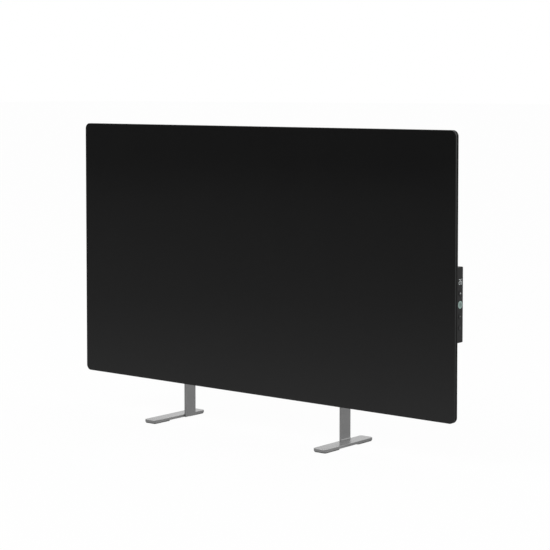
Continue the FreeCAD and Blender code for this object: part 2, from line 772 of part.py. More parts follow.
turned("power_light_ring", [
    ("cap_hole", "0"),
    ("ring_radius", "0"),
    ("ring_radius", "fascia_thickness"),
    ("cap_hole", "fascia_thickness"),
], "fascia_back", "box_axis", "box_middle", TO_RIGHT)

lens = new_body("display_window", "fascia_back", "box_axis", "box_middle + display_z")
pad(lens, "YZ_Plane", [rectangle("window_width - 2 * window_fit", "window_height - 2 * window_fit")],
    length="fascia_thickness")
pad(lens, "YZ_Plane", [rectangle("window_width + 2 * window_lip", "window_height + 2 * window_lip")],
    length="window_lip_thickness", back=True)

# Keys: a round cap in the fascia, a square flange that keeps it in and a stem that reaches into its switch
cap_top = "fascia_thickness + cap_proud"
for key, level in KEYS.items():
    button = turned(key, [
        ("0", "-cap_play"), ("cap_radius", "-cap_play"), ("cap_radius", cap_top), ("0", cap_top),
    ], "fascia_back", "box_axis", f"box_middle + {level}", TO_RIGHT)
    pad(button, "XY_Plane", [rectangle("flange_size", "flange_size")], length="flange_thickness",
        level="-cap_play", back=True)
    pad(button, "XY_Plane", [rectangle("stem_size", "stem_size")], length="stem_reach", back=True)


def key_switch(name, level):
    """A light switch with a blind bore for the key's stem."""
    body = plate(f"{name}_switch", "YZ_Plane", "switch_size", "switch_size", "switch_height",
                 "key_front", "box_axis", f"box_middle + {level}", kept=False)
    bore = "stem_size + 2 * stem_clearance"
    pocket(body, "YZ_Plane", [rectangle(bore, bore)], level="switch_height", depth="switch_bore_depth",
           back=True)
    return body


group("key_switches", [key_switch(name, level) for name, level in KEYS.items()])
key_board = plate("key_board", "YZ_Plane", "key_board_width", "key_board_height", "board_thickness",
                  "key_back", "box_axis", "box_middle")
pocket(key_board, "YZ_Plane", [rectangle("peg_hole", "peg_hole", y, z) for y, z in KEY_POSTS])
plate("display_module", "YZ_Plane", "window_width - 2 * display_gap", "display_height",
      "fascia_back - window_lip_thickness - key_front", "key_front", "box_axis", "box_middle + display_z")

# Main board: it stands on the tray's standoffs and carries the supply, relay and sensors
main_board = plate("main_board", "XZ_Plane", "main_board_width", "main_board_height", "board_thickness",
                   "board_middle", "board_front", "box_middle")
pin_hole = "terminal_size + 2 * terminal_clearance"
pocket(main_board, "XZ_Plane", [rectangle(pin_hole, pin_hole, "terminal_x - board_middle",
                                          f"{side}(terminal_spacing / 2)") for side in ("", "-")])
pocket(main_board, "XZ_Plane", [rectangle("peg_hole", "peg_hole", f"{x} + floor_middle - board_middle", z)
                                for x, z in PEGGED])


def on_board(label, across, along, height, x, z):
    """A moulded block on the main board's rear face, about a point given by x and the rise above middle."""
    return plate(label, "XZ_Plane", across, along, height, x, "board_rear", f"box_middle + {z}")


on_board("power_supply", "supply_width", "supply_length", "tall_part", "board_left + supply_across", "0")
on_board("relay", "relay_width", "relay_length", "tall_part", "board_right - relay_inset",
         "relay_end - board_half")
on_board("cord_terminal_block", "block_width", "block_length", "tall_part", "board_left + block_across",
         "block_end - board_half")
on_board("fuse", "fuse_width", "fuse_length", "tall_part - fuse_drop", "terminal_x - fuse_offset",
         "fuse_end - board_half")
on_board("capacitor", "capacitor_width", "capacitor_length", "tall_part - capacitor_drop",
         "board_left + capacitor_across", "0")
on_board("tilt_switch", "tilt_size", "tilt_size", "tall_part - tilt_drop", "board_left + tilt_across",
         "board_half - buzzer_end")
on_board("buzzer", "buzzer_size", "buzzer_size", "buzzer_height", "board_left + buzzer_across",
         "board_half - buzzer_end")
wireless = on_board("wireless_module", "wireless_width", "wireless_length", "wireless_thickness",
                    "board_right - wireless_inset", "board_half - wireless_end")
pad(wireless, "XZ_Plane", [rectangle("wireless_width - 2 * wireless_can_margin", "wireless_can_length", "0",
                                     "wireless_can_length / 2 + wireless_can_margin - wireless_length / 2")],
    length="wireless_thickness + wireless_can_height")
link_left = "board_right - link_seat"
plate("board_link", "XZ_Plane", f"key_back - ({link_left})", "link_length", "link_height",
      f"({link_left} + key_back) / 2", "board_rear", "box_middle")

# Sensors: two rest on the glass through the tray's window, one hangs under the board by the lower vents
under_board = "board_front - rear_face"
cutout = turned("thermal_cutout", [
    ("0", "0"), ("cutout_radius", "0"), ("cutout_radius", "cutout_thickness"), ("0", "cutout_thickness"),
], "terminal_x - cutout_offset", "rear_face", "box_middle", TO_BACK)
pad(cutout, "XY_Plane", [rectangle("cutout_stem", "cutout_stem")], length=under_board)
glass_sensor = plate("glass_sensor", "XZ_Plane", "bead_size", "bead_size", "bead_length",
                     "terminal_x + glass_sensor_offset", "rear_face", "box_middle")
pad(glass_sensor, "XZ_Plane", [rectangle("lead_size", "lead_size")], length=under_board)
room_sensor = plate("room_sensor", "XY_Plane", "bead_size", "bead_size", "bead_length",
                    "board_right - room_sensor_inset", "board_front + board_thickness / 2",
                    "box_middle - board_half - bead_length - room_lead_length")
pad(room_sensor, "XY_Plane", [rectangle("lead_size", "lead_size")], length="bead_length + room_lead_length")

# Every object is sound before anything is written
doc.recompute()
for item in doc.Objects:
    if "Invalid" in item.State or "Error" in item.State:
        raise RuntimeError(f"{item.Label} failed to build")
for piece in pieces:
    if piece.Shape.isNull() or not piece.Shape.isValid() or not piece.Shape.Solids:
        raise RuntimeError(f"{piece.Label} has no sound solid")
for piece in pieces:
    piece.Shape.exportStep(f"parts/{piece.Label}.step")
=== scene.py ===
import math

import bpy
from mathutils import Matrix, Vector


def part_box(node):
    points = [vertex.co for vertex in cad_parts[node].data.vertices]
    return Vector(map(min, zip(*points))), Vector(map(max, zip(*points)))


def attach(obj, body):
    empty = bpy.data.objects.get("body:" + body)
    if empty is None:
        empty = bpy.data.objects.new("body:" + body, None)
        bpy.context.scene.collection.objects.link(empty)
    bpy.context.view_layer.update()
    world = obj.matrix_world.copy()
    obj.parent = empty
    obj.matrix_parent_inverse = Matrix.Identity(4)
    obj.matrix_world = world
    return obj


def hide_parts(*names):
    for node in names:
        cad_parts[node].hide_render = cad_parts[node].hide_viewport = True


# Free-standing glass panel heater, in metres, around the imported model.
# +X is right as seen from the front, +Y is the back and +Z is up.
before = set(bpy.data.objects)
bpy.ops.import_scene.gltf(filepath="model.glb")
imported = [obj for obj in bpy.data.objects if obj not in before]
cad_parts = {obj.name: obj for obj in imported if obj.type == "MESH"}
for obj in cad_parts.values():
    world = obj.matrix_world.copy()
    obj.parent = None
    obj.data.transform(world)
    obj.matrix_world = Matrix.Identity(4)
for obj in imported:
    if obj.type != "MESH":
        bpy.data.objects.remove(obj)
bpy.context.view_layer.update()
MM = 0.001

# Glass sheets: 4 mm toughened glass, painted black on the inside; the front one is the
# heater's face. Corners are ground round and the rims to a soft arris that stays matt.
# The rear one is drilled for the terminals, and its rim takes the ground rim's finish made darker and
# duller, a painted shade.
glass_corner, glass_corner_steps = 12 * MM, 14
arris, arris_steps = 0.6 * MM, 3
drill_radius, drill_sides = 3.5 * MM, 32
pin_head = 4.8 * MM
flat_share = 0.95  # of a normal along Y, over which a face is flat glass and no rim
smooth_angle = math.radians(35)
drift_detail, drift_span = 3, (0.3, 0.7)  # of the noise that shades a finish
grain_detail, grain_strength = 2, 0.5  # of the noise that bumps it


def select_only(*pieces):
    """Leaves just these pieces selected, in object mode, with the first one active."""
    bpy.ops.object.select_all(action="DESELECT")
    for piece in pieces:
        piece.select_set(True)
    bpy.context.view_layer.objects.active = pieces[0]


def settled(name):
    """Names the primitive that was just added and takes its place and size into its mesh."""
    bpy.ops.object.transform_apply(location=True, rotation=True, scale=True)
    piece = bpy.context.object
    piece.name = piece.data.name = name
    return piece


def block(name, low, high):
    """A cuboid between two corners, the start of a flat piece."""
    bpy.ops.object.select_all(action="DESELECT")
    bpy.ops.mesh.primitive_cube_add(size=1, location=(low + high) / 2)
    bpy.ops.transform.resize(value=high - low)
    return settled(name)


def rod(name, radius, length, sides, middle, turn=(0, 0, 0)):
    """A cylinder about its middle, upright unless it is turned, the start of a round piece."""
    bpy.ops.object.select_all(action="DESELECT")
    bpy.ops.mesh.primitive_cylinder_add(vertices=sides, radius=radius, depth=length,
                                        location=middle, rotation=turn)
    return settled(name)


def bevel_edges(piece, wanted, width, steps):
    """Rounds the edges whose two ends are wanted, or chamfers them in one step."""
    bpy.ops.object.mode_set(mode="EDIT")
    bpy.ops.mesh.select_mode(type="EDGE")
    bpy.ops.mesh.select_all(action="DESELECT")
    bpy.ops.object.mode_set(mode="OBJECT")
    points = piece.data.vertices
    for edge in piece.data.edges:
        edge.select = wanted(points[edge.vertices[0]].co, points[edge.vertices[1]].co)
    bpy.ops.object.mode_set(mode="EDIT")
    bpy.ops.mesh.bevel(offset=width, segments=steps, affect="EDGES")
    bpy.ops.object.mode_set(mode="OBJECT")


def rounded_plate(name, node, thin, corner, corner_steps, edge, edge_steps):
    """A plate in the box of a CAD node, with round corners and broken edges, thin along one axis."""
    low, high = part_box(node)
    plate = block(name, low, high)
    half = (high[thin] - low[thin]) / 2
    bevel_edges(plate, lambda start, end: abs(start[thin] - end[thin]) > half, corner, corner_steps)
    bevel_edges(plate, lambda start, end: abs(start[thin] - end[thin]) < edge / 2, edge, edge_steps)
    return plate


def carve(piece, tool, operation="DIFFERENCE"):
    """Cuts a tool out of a piece, or joins it on, and does away with the tool."""
    change = piece.modifiers.new("carve", "BOOLEAN")
    change.operation = operation
    change.object = tool
    select_only(piece)
    bpy.ops.object.modifier_apply(modifier=change.name)
    bpy.data.objects.remove(tool)


def shade(piece):
    """Shades a finished piece smooth over all but its sharp edges."""
    select_only(piece)
    bpy.ops.object.shade_smooth_by_angle(angle=smooth_angle)


def stand_for(piece, node, material, body="heater"):
    """Puts a finished piece in the place of a CAD node."""
    piece.data.materials.append(material)
    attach(piece, body)
    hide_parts(node)


def add_node(tree, kind, sockets, **settings):
    """Adds a shader node; each of its sockets gets a value or the output of another node."""
    node = tree.nodes.new(kind)
    for setting, value in settings.items():
        setattr(node, setting, value)
    for socket, value in sockets.items():
        if isinstance(value, bpy.types.NodeSocket):
            tree.links.new(value, node.inputs[socket])
        else:
            node.inputs[socket].default_value = value
    return node


def finish(name, dark, light, patch, roughness, grain=None, stretch=(1, 1, 1), fixed=None):
    """A material that drifts between two shades and two roughnesses over patches of a given size.

    The grain, if any, is given by its size and depth. What is the same all over is in fixed.
    """
    material = bpy.data.materials.new(name)
    material.use_nodes = True
    tree = material.node_tree
    shader = tree.nodes["Principled BSDF"]
    for socket, value in (fixed or {}).items():
        shader.inputs[socket].default_value = value
    place = tree.nodes.new("ShaderNodeTexCoord").outputs["Object"]
    drift = add_node(tree, "ShaderNodeTexNoise",
                     {"Vector": place, "Scale": 1 / patch, "Detail": drift_detail}).outputs["Fac"]
    shades = add_node(tree, "ShaderNodeValToRGB", {"Fac": drift})
    for stop, position, colour in zip(shades.color_ramp.elements, drift_span, (dark, light)):
        stop.position = position
        stop.color = (*colour, 1)
    tree.links.new(shades.outputs["Color"], shader.inputs["Base Color"])
    spread = add_node(tree, "ShaderNodeMapRange",
                      {"Value": drift, "To Min": roughness[0], "To Max": roughness[1]})
    tree.links.new(spread.outputs["Result"], shader.inputs["Roughness"])
    if grain:
        size, depth = grain
        drawn = add_node(tree, "ShaderNodeMapping", {"Vector": place, "Scale": stretch})
        specks = add_node(tree, "ShaderNodeTexNoise",
                          {"Vector": drawn.outputs["Vector"], "Scale": 1 / size, "Detail": grain_detail})
        bump = add_node(tree, "ShaderNodeBump",
                        {"Height": specks.outputs["Fac"], "Strength": grain_strength, "Distance": depth})
        tree.links.new(bump.outputs["Normal"], shader.inputs["Normal"])
    return material


black_glass = finish("black_glass", dark=(0.0011, 0.0011, 0.0012), light=(0.0017, 0.0017, 0.0017),
                     patch=120 * MM, roughness=(0.035, 0.075), fixed={"IOR": 1.5})
ground_edge = finish("ground_glass_edge", dark=(0.005, 0.006, 0.006), light=(0.009, 0.01, 0.01),
                     patch=1.2 * MM, roughness=(0.3, 0.42), grain=(0.4 * MM, 0.02 * MM),
                     fixed={"Specular IOR Level": 0.36})
# The rear sheet's rim: the ground rim's finish made darker and duller, a painted shade.
rim_painted_shade = finish("rear_rim_painted_shade", dark=(0.003, 0.003, 0.003), light=(0.006, 0.006, 0.006),
                      patch=1.5 * MM, roughness=(0.42, 0.52), grain=(0.4 * MM, 0.02 * MM),
                      fixed={"Specular IOR Level": 0.25})


def glass_sheet(name, node, rim_finish, bores=()):
    """One sheet in the place of its CAD node, with round corners, a soft rim and its bores."""
    sheet = rounded_plate(name, node, thin=1, corner=glass_corner, corner_steps=glass_corner_steps,
                          edge=arris, edge_steps=arris_steps)
    low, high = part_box(node)
    drill_length = 2 * (high.y - low.y)
    for x, z in bores:
        carve(sheet, rod("drill", drill_radius, drill_length, drill_sides,
                         middle=(x, (low.y + high.y) / 2, z), turn=(math.pi / 2, 0, 0)))
    shade(sheet)
    stand_for(sheet, node, black_glass)
    sheet.data.materials.append(rim_finish)
    for face in sheet.data.polygons:
        is_rim = abs(face.normal.y) < flat_share
        face.material_index = 1 if is_rim else 0
        face.use_smooth = is_rim


pins_low, pins_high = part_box("busbar_terminals")
pin_x = (pins_low.x + pins_high.x) / 2
pin_spots = [(pin_x, pins_low.z + pin_head / 2), (pin_x, pins_high.z - pin_head / 2)]
glass_sheet("front_sheet", "front_glass", ground_edge)
glass_sheet("rear_sheet", "rear_glass", rim_painted_shade, pin_spots)


# Core of the panel: a carbon film between two copper strips, sealed round the edge
# with black butyl. Square brass pins stand on the strips' tails and carry the current
# out through the rear sheet to the main board.
def dress_nodes(material, *names):
    """Gives carried-over CAD nodes a finish of the scene's own."""
    for name in names:
        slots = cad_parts[name].data.materials
        slots.clear()
        slots.append(material)


butyl = finish("butyl_seal", dark=(0.008, 0.008, 0.008), light=(0.014, 0.014, 0.014),
               patch=4 * MM, roughness=(0.55, 0.7))
carbon_film = finish("carbon_film", dark=(0.015, 0.014, 0.013), light=(0.03, 0.028, 0.026),
                     patch=9 * MM, roughness=(0.4, 0.55))
copper = finish("copper_strip", dark=(0.55, 0.24, 0.13), light=(0.72, 0.34, 0.2),
                patch=6 * MM, roughness=(0.25, 0.4), fixed={"Metallic": 1})
brass = finish("turned_brass", dark=(0.55, 0.38, 0.13), light=(0.68, 0.5, 0.2),
               patch=3 * MM, roughness=(0.25, 0.38), fixed={"Metallic": 1})
dress_nodes(butyl, "edge_seal")
dress_nodes(carbon_film, "heating_film")
dress_nodes(copper, "upper_busbar", "lower_busbar")
dress_nodes(brass, "busbar_terminals", "terminal_clips")

# Legs: flat steel bars, a post welded to the inner side of a foot, under one satin
# silver-grey lacquer. The feet have round corners, and their edges are broken.
foot_corner, foot_corner_steps = 6 * MM, 10
foot_edge, foot_edge_steps = 0.5 * MM, 1


def copied(piece, name, move):
    """A copy of a piece with a mesh of its own, moved to its place."""
    select_only(piece)
    bpy.ops.object.duplicate()
    copy = bpy.context.object
    copy.name = copy.data.name = name
    copy.data.transform(move)
    return copy


def step_between(node, like_node):
    """The move from one CAD node to another of the same size."""
    return Matrix.Translation(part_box(like_node)[0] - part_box(node)[0])


leg_coat = finish("satin_leg_coat", dark=(0.33, 0.33, 0.331), light=(0.35, 0.35, 0.351),
                  patch=30 * MM, roughness=(0.31, 0.37), grain=(0.4 * MM, 0.001 * MM),
                  fixed={"Metallic": 0.9, "Coat Weight": 0.3, "Coat Roughness": 0.25})
weld_coat = finish("coated_weld", dark=(0.3, 0.3, 0.3), light=(0.38, 0.38, 0.38),
                   patch=2 * MM, roughness=(0.2, 0.3), fixed={"Metallic": 1})
dress_nodes(leg_coat, "left_post", "right_post")
dress_nodes(weld_coat, "leg_welds")
left_foot = rounded_plate("left_foot_bar", "left_foot", thin=2, corner=foot_corner,
                          corner_steps=foot_corner_steps, edge=foot_edge, edge_steps=foot_edge_steps)
shade(left_foot)
right_foot = copied(left_foot, "right_foot_bar", step_between("left_foot", "right_foot"))
stand_for(left_foot, "left_foot", leg_coat)
stand_for(right_foot, "right_foot", leg_coat)

# Foot pads: grey rubber strips stuck under both ends of each foot, with fine ribs
# that run across the foot so that it doesn't slide.
pad_corner, pad_edge = foot_corner - 1 * MM, 0.3 * MM
rib_pitch, rib_depth, rib_strength = 2 * MM, 0.2 * MM, 0.6
wave_pitch = math.pi / 10  # of the wave texture at a scale of 1, in metres
pad_rubber = finish("ribbed_rubber", dark=(0.1, 0.1, 0.1), light=(0.13, 0.13, 0.128),
                    patch=8 * MM, roughness=(0.7, 0.85))
tree = pad_rubber.node_tree
ribs = add_node(tree, "ShaderNodeTexWave",
                {"Vector": tree.nodes["Texture Coordinate"].outputs["Object"],
                 "Scale": wave_pitch / rib_pitch}, bands_direction="Y")
rib_bump = add_node(tree, "ShaderNodeBump",
                    {"Height": ribs.outputs["Fac"], "Strength": rib_strength, "Distance": rib_depth})
tree.links.new(rib_bump.outputs["Normal"], tree.nodes["Principled BSDF"].inputs["Normal"])
pad_model = rounded_plate("pad_model", "left_front_pad", thin=2, corner=pad_corner,
                          corner_steps=foot_corner_steps, edge=pad_edge, edge_steps=foot_edge_steps)
shade(pad_model)
for side in ("left", "right"):
    for end in ("front", "rear"):
        pad_node = f"{side}_{end}_pad"
        strip = copied(pad_model, f"{side}_{end}_strip", step_between("left_front_pad", pad_node))
        stand_for(strip, pad_node, pad_rubber)
bpy.data.objects.remove(pad_model)

# Leg brackets: lengths of extruded aluminium angle, bonded to the rear sheet with grey
# silicone. The extrusion leaves fine lines along their height.
bracket_aluminium = finish("extruded_aluminium", dark=(0.52, 0.53, 0.54), light=(0.6, 0.61, 0.62),
                           patch=10 * MM, roughness=(0.32, 0.45), grain=(0.6 * MM, 0.015 * MM),
                           stretch=(1, 1, 0.02), fixed={"Metallic": 1})
silicone = finish("grey_silicone", dark=(0.1, 0.1, 0.105), light=(0.14, 0.14, 0.145),
                  patch=6 * MM, roughness=(0.5, 0.65))
dress_nodes(bracket_aluminium, "left_bracket", "right_bracket")
dress_nodes(silicone, "bracket_adhesive")

# Leg screws: button heads with a hexagon socket, two to each leg, through post and
# bracket into nuts. Bright zinc on steel.
leg_head_radius, leg_head_height, leg_dome = 4.75 * MM, 2.8 * MM, 1.9 * MM
leg_shank_radius, leg_shank_length = 2.5 * MM, 12.5 * MM
leg_socket_radius, leg_socket_depth, leg_socket_sides = 1.75 * MM, 1.6 * MM, 6
leg_screw_pitch = 60 * MM
screw_sides, dome_steps = 32, 4
facing = 0.5  # the least share of a normal along the way that its face looks


def pick_faces(piece, wanted):
    """Goes to edit mode with just the faces selected whose middle and normal are wanted."""
    bpy.ops.object.mode_set(mode="EDIT")
    bpy.ops.mesh.select_mode(type="FACE")
    bpy.ops.mesh.select_all(action="DESELECT")
    bpy.ops.object.mode_set(mode="OBJECT")
    for face in piece.data.polygons:
        face.select = wanted(face.center, face.normal)
    bpy.ops.object.mode_set(mode="EDIT")


def extrude(move):
    """Draws the selected faces out along a move."""
    bpy.ops.mesh.extrude_region_move(TRANSFORM_OT_translate={"value": move})


def headed_screw(name, head_radius, head_height, dome, shank_radius, shank_length):
    """A screw on the origin with a domed head that looks up."""
    screw = rod(name, head_radius, head_height, screw_sides, (0, 0, head_height / 2))
    pick_faces(screw, lambda middle, normal: normal.z < -facing)
    bpy.ops.mesh.inset(thickness=head_radius - shank_radius)
    extrude((0, 0, -shank_length))
    bpy.ops.object.mode_set(mode="OBJECT")
    on_top = head_height - dome / 10
    bevel_edges(screw, lambda start, end: min(start.z, end.z) > on_top, dome, dome_steps)
    return screw


def joined(name, parts):
    """Makes one piece of several."""
    select_only(*parts)
    bpy.ops.object.join()
    whole = bpy.context.object
    whole.name = whole.data.name = name
    return whole


zinc_steel = finish("zinc_plated_steel", dark=(0.5, 0.51, 0.52), light=(0.62, 0.63, 0.64),
                    patch=3 * MM, roughness=(0.22, 0.36), fixed={"Metallic": 1})
dress_nodes(zinc_steel, "leg_nuts")
screw_model = headed_screw("leg_screw_model", leg_head_radius, leg_head_height, leg_dome,
                           leg_shank_radius, leg_shank_length)
carve(screw_model, rod("socket", leg_socket_radius, 2 * leg_socket_depth, leg_socket_sides,
                       (0, 0, leg_head_height)))
shade(screw_model)
leg_screws = []
for side, outwards in (("left", -1), ("right", 1)):
    post_low, post_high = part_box(f"{side}_post")
    bracket_low, bracket_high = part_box(f"{side}_bracket")
    turn = Matrix.Rotation(outwards * math.pi / 2, 4, "Y")
    for step in (-leg_screw_pitch / 2, leg_screw_pitch / 2):
        spot = Vector((post_high.x if side == "right" else post_low.x, (post_low.y + post_high.y) / 2,
                       (bracket_low.z + bracket_high.z) / 2 + step))
        leg_screws.append(copied(screw_model, "leg_screw", Matrix.Translation(spot) @ turn))
bpy.data.objects.remove(screw_model)
stand_for(joined("button_head_screws", leg_screws), "leg_screws", zinc_steel)

# Control box: a tray taped to the rear sheet and a moulded cover with vents, both of
# black plastic with a fine spark-eroded grain.
box_plastic = finish("grained_black_plastic", dark=(0.012, 0.012, 0.0125), light=(0.016, 0.016, 0.0165),
                     patch=20 * MM, roughness=(0.48, 0.58), grain=(0.35 * MM, 0.03 * MM))
foam_tape = finish("foam_tape", dark=(0.03, 0.03, 0.03), light=(0.06, 0.06, 0.06),
                   patch=1 * MM, roughness=(0.8, 0.95))
dress_nodes(box_plastic, "control_base", "control_cover")
dress_nodes(foam_tape, "box_tape")

# Cover screws: small pan heads with a cross recess, of blackened steel. They go through
# the corners of the cover, one into each boss of the tray.
cover_head_radius, cover_head_height, cover_dome = 2.4 * MM, 1.0 * MM, 0.6 * MM
cover_shank_radius, cover_shank_length = 1.25 * MM, 9.8 * MM
cross_reach, cross_half_width, cross_depth = 1.3 * MM, 0.45 * MM, 0.5 * MM
black_steel = finish("blackened_steel", dark=(0.02, 0.02, 0.021), light=(0.035, 0.035, 0.036),
                     patch=2 * MM, roughness=(0.3, 0.42), fixed={"Metallic": 0.8})
screw_model = headed_screw("cover_screw_model", cover_head_radius, cover_head_height, cover_dome,
                           cover_shank_radius, cover_shank_length)
head_top = Vector((0, 0, cover_head_height))
for reach_x, reach_y in ((cross_reach, cross_half_width), (cross_half_width, cross_reach)):
    half = Vector((reach_x, reach_y, cross_depth))
    carve(screw_model, block("cross_slot", head_top - half, head_top + half))
shade(screw_model)
screws_low, screws_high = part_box("cover_screws")
to_back = Matrix.Rotation(-math.pi / 2, 4, "X")
cover_screws = []
for x in (screws_low.x + cover_head_radius, screws_high.x - cover_head_radius):
    for z in (screws_low.z + cover_head_radius, screws_high.z - cover_head_radius):
        spot = Vector((x, screws_high.y - cover_head_height, z))
        cover_screws.append(copied(screw_model, "cover_screw", Matrix.Translation(spot) @ to_back))
bpy.data.objects.remove(screw_model)
stand_for(joined("pan_head_screws", cover_screws), "cover_screws", black_steel)

# Cord gland: a black nylon bush with a domed nose and a fluted grip, held in the underside
# of the box by a hexagon nut. Its bore is where the cord goes in.
gland_drop, gland_dome, gland_dome_steps = 7 * MM, 2 * MM, 5
gland_lip, gland_sides = 1.8 * MM, 48
cord_radius, cord_sides = 3.5 * MM, 32
flute_margin, flute_depth = 0.12 * MM, 0.4 * MM
upright_slope = 0.1  # the most that an upright face's normal rises
grip_share = 0.95  # of the gland's radius, beyond which a face is on the grip
nylon = finish("black_nylon", dark=(0.014, 0.014, 0.014), light=(0.02, 0.02, 0.02),
               patch=5 * MM, roughness=(0.38, 0.5))
dress_nodes(nylon, "gland_nut")
gland_low, gland_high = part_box("cable_gland")
gland_middle = (gland_low + gland_high) / 2
gland_radius = (gland_high.x - gland_low.x) / 2
gland_height = gland_high.z - gland_low.z
gland = rod("fluted_gland", gland_radius, gland_drop, gland_sides,
            (gland_middle.x, gland_middle.y, gland_low.z + gland_drop / 2))
pick_faces(gland, lambda middle, normal: normal.z > facing)
bpy.ops.mesh.inset(thickness=gland_lip)
extrude((0, 0, gland_height - gland_drop))
bpy.ops.object.mode_set(mode="OBJECT")
bevel_edges(gland, lambda start, end: max(start.z, end.z) < gland_low.z + gland_dome / 2,
            gland_dome, gland_dome_steps)


def is_flute(middle, normal):
    """Whether a face is one of every second upright face of the grip, counted round the bush."""
    out = middle - gland_middle
    if abs(normal.z) > upright_slope or out.xy.length < grip_share * gland_radius:
        return False
    share_of_turn = math.atan2(out.y, out.x) / (2 * math.pi) + 0.5
    return int(share_of_turn * gland_sides) % 2 == 0


pick_faces(gland, is_flute)
bpy.ops.mesh.inset(thickness=flute_margin, depth=-flute_depth, use_individual=True)
bpy.ops.object.mode_set(mode="OBJECT")
carve(gland, rod("cord_bore", cord_radius, 2 * gland_height, cord_sides, gland_middle))
shade(gland)
stand_for(gland, "cable_gland", nylon)

# Fascia: the moulded strip that closes the box on the heater's right edge, with holes for
# the keys and a smoked acrylic window over the display. Smoother than the cover, in the
# same black.
fascia_plastic = finish("satin_black_plastic", dark=(0.008, 0.008, 0.0083), light=(0.011, 0.011, 0.0113),
                        patch=12 * MM, roughness=(0.4, 0.5), grain=(0.3 * MM, 0.012 * MM),
                        fixed={"Specular IOR Level": 0.3})
smoked_lens = finish("smoked_window", dark=(0.006, 0.006, 0.0065), light=(0.009, 0.009, 0.0095),
                     patch=6 * MM, roughness=(0.2, 0.28))
dress_nodes(fascia_plastic, "control_fascia")
dress_nodes(smoked_lens, "display_window")

# Light ring round the power key: a milky acrylic ring pressed into the fascia and lit
# from behind in a pale blue-green.
lit_ring = finish("lit_ring", dark=(0.1, 0.12, 0.115), light=(0.14, 0.16, 0.155),
                  patch=4 * MM, roughness=(0.35, 0.45),
                  fixed={"Emission Color": (0.2, 0.3, 0.27, 1), "Emission Strength": 0.9})
dress_nodes(lit_ring, "power_light_ring")

# Keys: round caps with a shallow dish, each on a square flange that keeps it in the fascia
# and a square stem that presses its switch. They travel 0.6 mm inwards.
cap_height, cap_sides = 3.4 * MM, 48
cap_edge, cap_edge_steps = 0.3 * MM, 3
flange_lip, flange_thickness = 0.7 * MM, 0.9 * MM
stem_width = 3 * MM
dish_rim, dish_slope, dish_depth = 0.55 * MM, 1.1 * MM, 0.2 * MM
outer_share = 0.99  # of the cap's radius, beyond which an edge is on its rim
key_plastic = finish("key_plastic", dark=(0.01, 0.01, 0.0104), light=(0.013, 0.013, 0.0134),
                     patch=7 * MM, roughness=(0.36, 0.46), grain=(0.3 * MM, 0.01 * MM),
                     fixed={"Specular IOR Level": 0.3})
lit_cap = finish("lit_power_cap", dark=(0.07, 0.085, 0.08), light=(0.1, 0.12, 0.115),
                 patch=5 * MM, roughness=(0.35, 0.45),
                 fixed={"Emission Color": (0.13, 0.19, 0.17, 1), "Emission Strength": 0.8})

key_low, key_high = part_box("plus_button")
key_middle = (key_low + key_high) / 2
cap_radius = (key_high.y - key_low.y) / 2 - flange_lip
flange_front = key_high.x - cap_height
flange_back = flange_front - flange_thickness
cap_length = cap_height + flange_thickness / 2  # half way into the flange
cap_model = rod("cap_model", cap_radius, cap_length, cap_sides,
                (key_high.x - cap_length / 2, key_middle.y, key_middle.z), (0, math.pi / 2, 0))
flange = block("flange", Vector((flange_back, key_low.y, key_low.z)),
               Vector((flange_front, key_high.y, key_high.z)))
pick_faces(flange, lambda middle, normal: normal.x < -facing)
bpy.ops.mesh.inset(thickness=cap_radius + flange_lip - stem_width / 2)
extrude((key_low.x - flange_back, 0, 0))
bpy.ops.object.mode_set(mode="OBJECT")
carve(cap_model, flange, "UNION")
pick_faces(cap_model, lambda middle, normal: normal.x > facing and middle.x > key_high.x - dish_depth)
for width in (dish_rim, dish_slope):
    bpy.ops.mesh.inset(thickness=width)
bpy.ops.transform.translate(value=(-dish_depth, 0, 0))
bpy.ops.object.mode_set(mode="OBJECT")
bevel_edges(cap_model, lambda start, end: min(start.x, end.x) > key_high.x - dish_depth / 2
            and math.dist(start.yz, key_middle.yz) > outer_share * cap_radius, cap_edge, cap_edge_steps)
shade(cap_model)
for key, material, slot in (("plus", key_plastic, "key_plastic"), ("minus", key_plastic, "key_plastic"),
                            ("mode", key_plastic, "key_plastic"), ("power", lit_cap, "power_cap")):
    cap = copied(cap_model, f"{key}_cap", step_between("plus_button", f"{key}_button"))
    stand_for(cap, f"{key}_button", material, f"{key}_key")
bpy.data.objects.remove(cap_model)

# Signs on the keys: clear windows moulded through the caps and lit from behind, flush with
# the dish: a plus, a minus, a ring for the mode, and the usual power sign.
sign_thickness, stroke = 0.16 * MM, 0.75 * MM
end_share, end_steps = 0.45, 4  # of a bar's width, as the radius of its ends
sign_spread = 0.2  # of a sign's own colour, up and down to its lightest and darkest shade
ring_steps = 32
plus_reach = 4 * MM
mode_radius, mode_stroke = 1.9 * MM, 0.8 * stroke
power_radius, power_gap = 2.6 * MM, math.radians(70)
power_stem_rise, power_stem_length = 0.65 * power_radius, 1.1 * power_radius


def lit_sign(name, colour, strength, own_share=0.25):
    """A light that shines through a clear window, which also has a little colour of its own."""
    return finish(name, dark=[(1 - sign_spread) * own_share * part for part in colour],
                  light=[(1 + sign_spread) * own_share * part for part in colour],
                  patch=2 * MM, roughness=(0.35, 0.45),
                  fixed={"Emission Color": (*colour, 1), "Emission Strength": strength})


def sign_middle(node):
    """The middle of a key's sign, half sunk in the dish of its cap."""
    low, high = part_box(node)
    return Vector((high.x - dish_depth, (low.y + high.y) / 2, (low.z + high.z) / 2))


def set_sign(sign, material, body):
    """Finishes a lit sign, which moves with a body and stands for no CAD node."""
    shade(sign)
    sign.data.materials.append(material)
    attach(sign, body)


def bar(name, middle, length, height):
    """A bar with rounded ends, lying across a cap."""
    half = Vector((sign_thickness, length, height)) / 2
    piece = block(name, middle - half, middle + half)
    bevel_edges(piece, lambda start, end: abs(start.x - end.x) > sign_thickness / 2,
                end_share * min(length, height), end_steps)
    return piece


